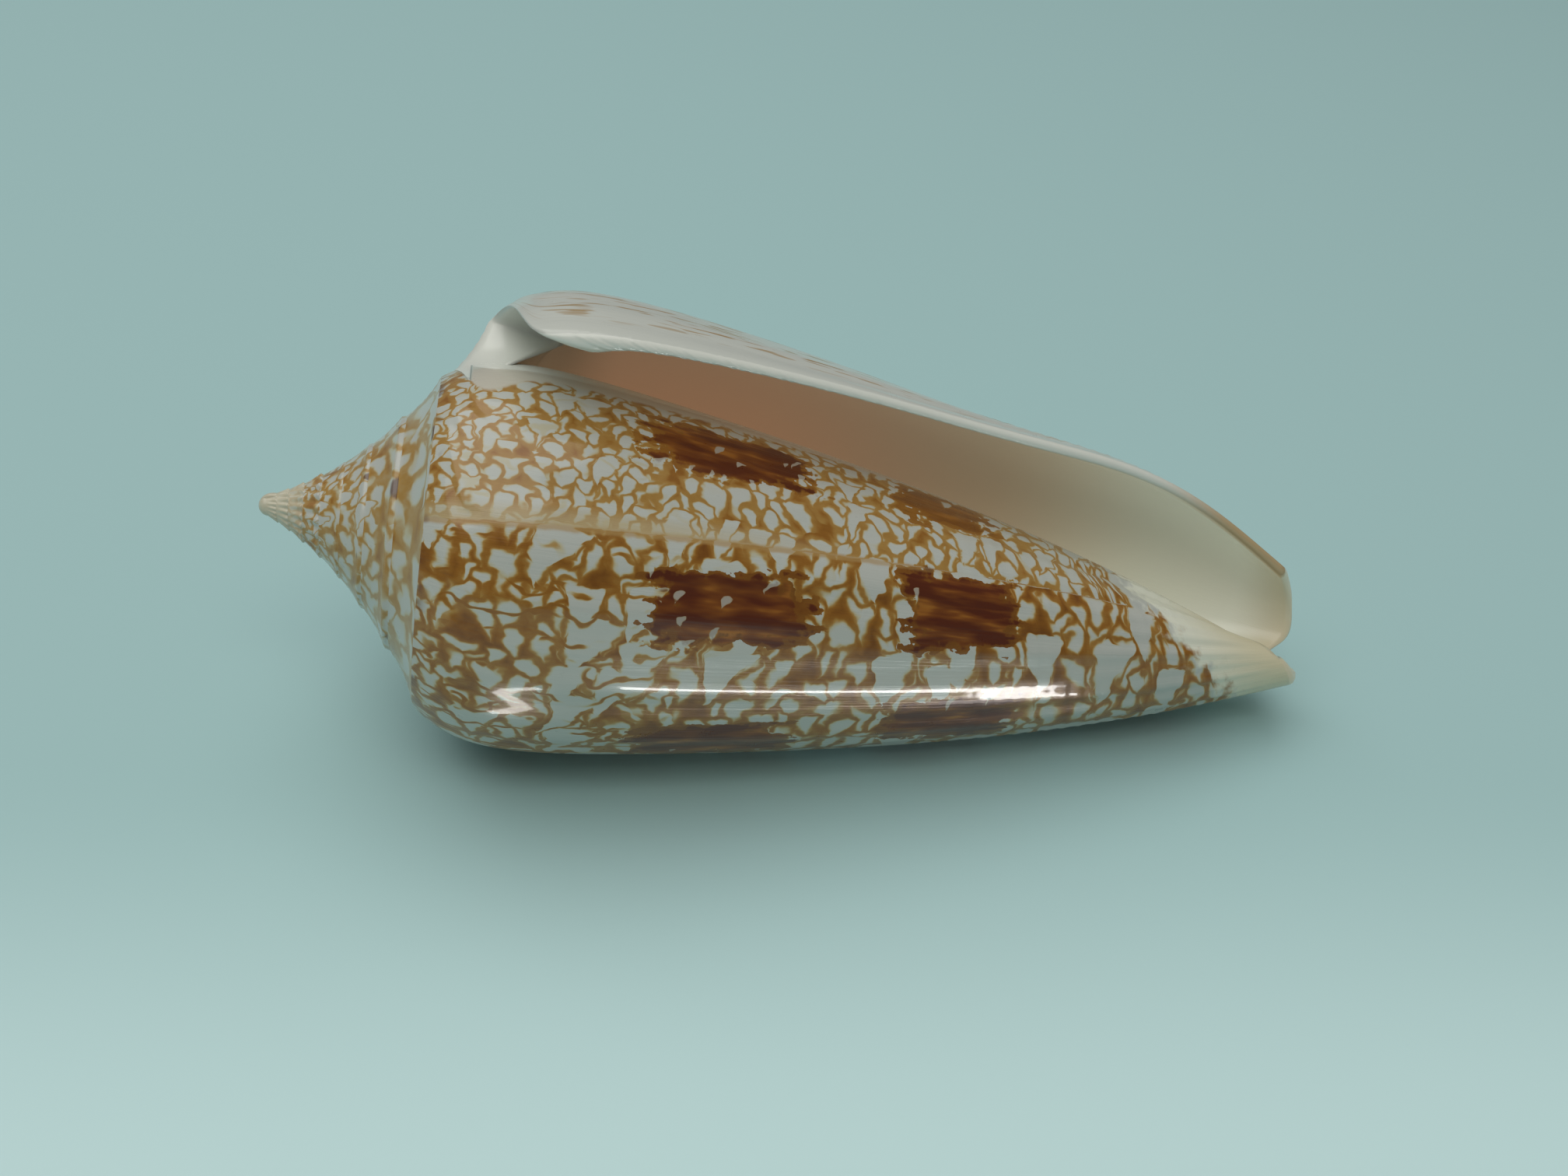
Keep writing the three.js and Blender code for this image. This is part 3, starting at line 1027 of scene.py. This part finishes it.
def with_siphonal_end(g, at, paint):
    """The plain end, white and then cream."""
    plain_from = g.math("MULTIPLY_ADD", g.fade(at.column, 0.6, 1.0), 0.1, 0.815)
    plain_from = g.math("MULTIPLY_ADD", at.wobble, 0.09, plain_from)
    plain = g.step(at.share, plain_from, g.math("ADD", plain_from, 0.03))
    return g.mix(plain, paint, g.mix(g.step(at.share, 0.86, 1.0), CANAL_WHITE, CANAL_CREAM))


def with_lip_edges(g, at, paint):
    """The bare strip with dashes behind the lip, and the old edge just inside the aperture."""
    below_spire = g.fade(at.spire, 0.4, 0.6)
    across = g.math("MULTIPLY", at.column, DASHES_PER_TURN)
    dashes = g.noise(g.merge(across, g.math("MULTIPLY", at.share, DASHES_ALONG)), 1.0, 1.0)[0]
    dashes = g.math("MULTIPLY", g.step(dashes, 0.57, 0.66), g.step(at.column, 0.014, 0.04))
    bare = g.mix(g.math("MULTIPLY", dashes, 0.9), LIP_BARE, LIP_DASH)
    paint = g.mix(g.math("MULTIPLY", g.fade(at.column, 0.06, 0.11), below_spire), paint, bare)
    old_line = g.math("MULTIPLY_ADD", g.step(at.share, 0.02, 0.12), 0.035, 1.0)
    old_line = g.math("MULTIPLY_ADD", at.wobble, 0.01, old_line)
    old_edge = g.step(at.column, old_line, g.math("ADD", old_line, 0.008))
    return g.mix(g.math("MULTIPLY", old_edge, below_spire), paint, OLD_LIP)


def with_spire_marks(g, at, paint):
    """Dark marks here and there along the spire's edges, and the plain cream tip."""
    here_and_there = g.step(g.noise(at.lay, 0.5, 1.0)[0], 0.6, 0.66)
    edge_mark = g.math("MULTIPLY", g.band(at.share, -0.04, 0.035, 0.02), here_and_there)
    edge_mark = g.math("MULTIPLY", edge_mark, g.fade(at.column, 3.0, 4.0))
    paint = g.mix(g.math("MULTIPLY", edge_mark, 0.8), paint, SHOULDER_MARK)
    return g.mix(g.math("MULTIPLY", g.step(at.column, 4.6, 6.6), 0.92), paint, TIP_CREAM)


def outside_material(tents, blotches, lines):
    material, g, shader = new_material("tented_glaze")
    at = OutsidePlace(g)
    dark, core = blotch_masks(g, blotches, at)
    shade = g.math("MAXIMUM", tent_shade(g, tents, at, dark), wave_shade(g, at))
    shade = uneven(g, at, shade)
    paint = with_blotches(g, at, paint_ramp(g, shade), shade, core)
    paint = with_scar(g, at, paint)
    paint = with_siphonal_end(g, at, paint)
    paint = with_lip_edges(g, at, paint)
    g.feed(shader.inputs["Base Color"], with_spire_marks(g, at, paint))
    wear = g.math("MULTIPLY_ADD", g.noise(at.lay, 0.8, 4.0)[0], 0.16, 0.22)
    g.feed(shader.inputs["Roughness"], wear)
    shader.inputs["Specular IOR Level"].default_value = 0.25
    shader.inputs["Coat Weight"].default_value = 0.5
    shader.inputs["Coat Roughness"].default_value = 0.07
    raise_growth_lines(g, shader, lines, at.lay, 0.35, 0.00006)
    return material


def inside_material(lines):
    """The aperture's glaze. Its faint glow stands for daylight through the thin wall."""
    material, g, shader = new_material("aperture_glaze")
    lay = g.map("lay")
    stage = g.split(g.map("growth"))
    column, share = stage[0], stage[1]
    flesh = g.mix(g.step(share, 0.3, 0.62), FLESH_DEEP, FLESH_MIDDLE)
    flesh = g.mix(g.step(share, 0.6, 0.85), flesh, FLESH_PALE)
    flesh = g.mix(g.step(share, 0.93, 1.0), flesh, FLESH_END)
    flesh = g.mix(g.fade(share, 0.02, 0.09), flesh, FLESH_SHOULDER)
    lip = g.fade(column, 0.001, 0.008)
    callus = g.math("MULTIPLY", g.step(column, 0.96, 1.0), g.fade(column, 1.12, 1.26))
    corner = g.math("MULTIPLY", g.fade(share, 0.05, 0.14), g.fade(column, 0.15, 0.4))
    rim = g.math("MAXIMUM", g.math("MAXIMUM", lip, callus), corner)
    paint = g.mix(rim, flesh, RIM_WHITE)
    stain = g.math("MULTIPLY", g.step(share, 0.8, 0.93), g.fade(column, 0.012, 0.035))
    g.feed(shader.inputs["Base Color"], g.mix(g.math("MULTIPLY", stain, 0.8), paint, RIM_STAIN))
    glow = g.mix(g.step(share, 0.3, 0.62), GLOW_DEEP, GLOW_MIDDLE)
    glow = g.mix(g.step(share, 0.6, 0.85), glow, GLOW_PALE)
    g.feed(shader.inputs["Emission Color"], g.mix(rim, glow, BLACK))
    shader.inputs["Emission Strength"].default_value = 0.2
    shader.inputs["Roughness"].default_value = 0.27
    shader.inputs["Coat Weight"].default_value = 0.2
    shader.inputs["Coat Roughness"].default_value = 0.15
    raise_growth_lines(g, shader, lines, lay, 0.15, 0.00004)
    return material


def floor_material():
    """The table, with painted light: paler towards the front, as if more light fell there."""
    material, g, shader = new_material("pale_table")
    place = g.node("ShaderNodeTexCoord").outputs["Object"]
    # Painted light: the table is paler towards the front
    painted_light = g.fade(g.split(place)[1], *FLOOR_PAINTED_LIGHT_SPAN)
    g.feed(shader.inputs["Base Color"], g.mix(painted_light, TABLE_FAR, TABLE_PAINTED_LIGHT))
    shader.inputs["Roughness"].default_value = 0.8
    shader.inputs["Specular IOR Level"].default_value = 0.0
    return material


def make_camera():
    camera = bpy.data.objects.new("camera", bpy.data.cameras.new("camera"))
    bpy.context.collection.objects.link(camera)
    camera.location = Vector(CAMERA_PLACE) * MM
    look = Matrix.Rotation(-CAMERA_YAW, 4, "Z") @ Matrix.Rotation(math.pi / 2 - CAMERA_PITCH, 4, "X")
    camera.rotation_euler = (look @ Matrix.Rotation(CAMERA_ROLL, 4, "Z")).to_euler()
    camera.data.lens = CAMERA_LENS
    camera.data.sensor_width = SENSOR_WIDTH
    camera.data.clip_start = NEAREST_SEEN
    bpy.context.scene.camera = camera


def area_light(name, place, size, power, tint):
    light = bpy.data.lights.new(name, "AREA")
    light.shape = "RECTANGLE"
    light.size, light.size_y = size
    light.energy = power
    light.color = tint
    lamp = bpy.data.objects.new(name, light)
    bpy.context.collection.objects.link(lamp)
    lamp.location = place
    lamp.rotation_euler = (Vector(place) - Vector(LIGHT_TARGET)).to_track_quat("Z", "Y").to_euler()
    return lamp


def low_lamp(name, middle, length, power):
    """A thin lamp low in front of the shell, which only its gloss shows."""
    place = (middle, LOW_LAMP_FRONT, LOW_LAMP_HEIGHT)
    lamp = area_light(name, place, (length, LOW_LAMP_THICKNESS), power, LAMP_WHITE)
    lamp.visible_camera = False
    lamp.visible_diffuse = False


def make_stage():
    bpy.ops.object.select_all(action="DESELECT")
    bpy.ops.mesh.primitive_plane_add(size=FLOOR_SIZE)
    floor = bpy.context.active_object
    floor.name = "floor"
    floor.data.materials.append(floor_material())
    world = bpy.data.worlds.new("studio")
    world.use_nodes = True
    sky = world.node_tree.nodes["Background"]
    sky.inputs["Color"].default_value = SKY_TINT
    sky.inputs["Strength"].default_value = SKY_STRENGTH
    bpy.context.scene.world = world
    area_light("key", *KEY_LAMP)
    fill = area_light("fill", *FILL_LAMP)
    fill.visible_glossy = False
    low_lamp("low_strip", *LOW_STRIP)
    low_lamp("low_spot", *LOW_SPOT)


make_camera()
make_stage()
growth_lines = growth_line_group()
tent_field = tents_group(tent_group())
blotch_rows = blotch_group()
shell = model_shell(outside_material(tent_field, blotch_rows, growth_lines), inside_material(growth_lines))
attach(shell, "root")
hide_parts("shell")
bpy.context.scene.view_settings.view_transform = "Standard"
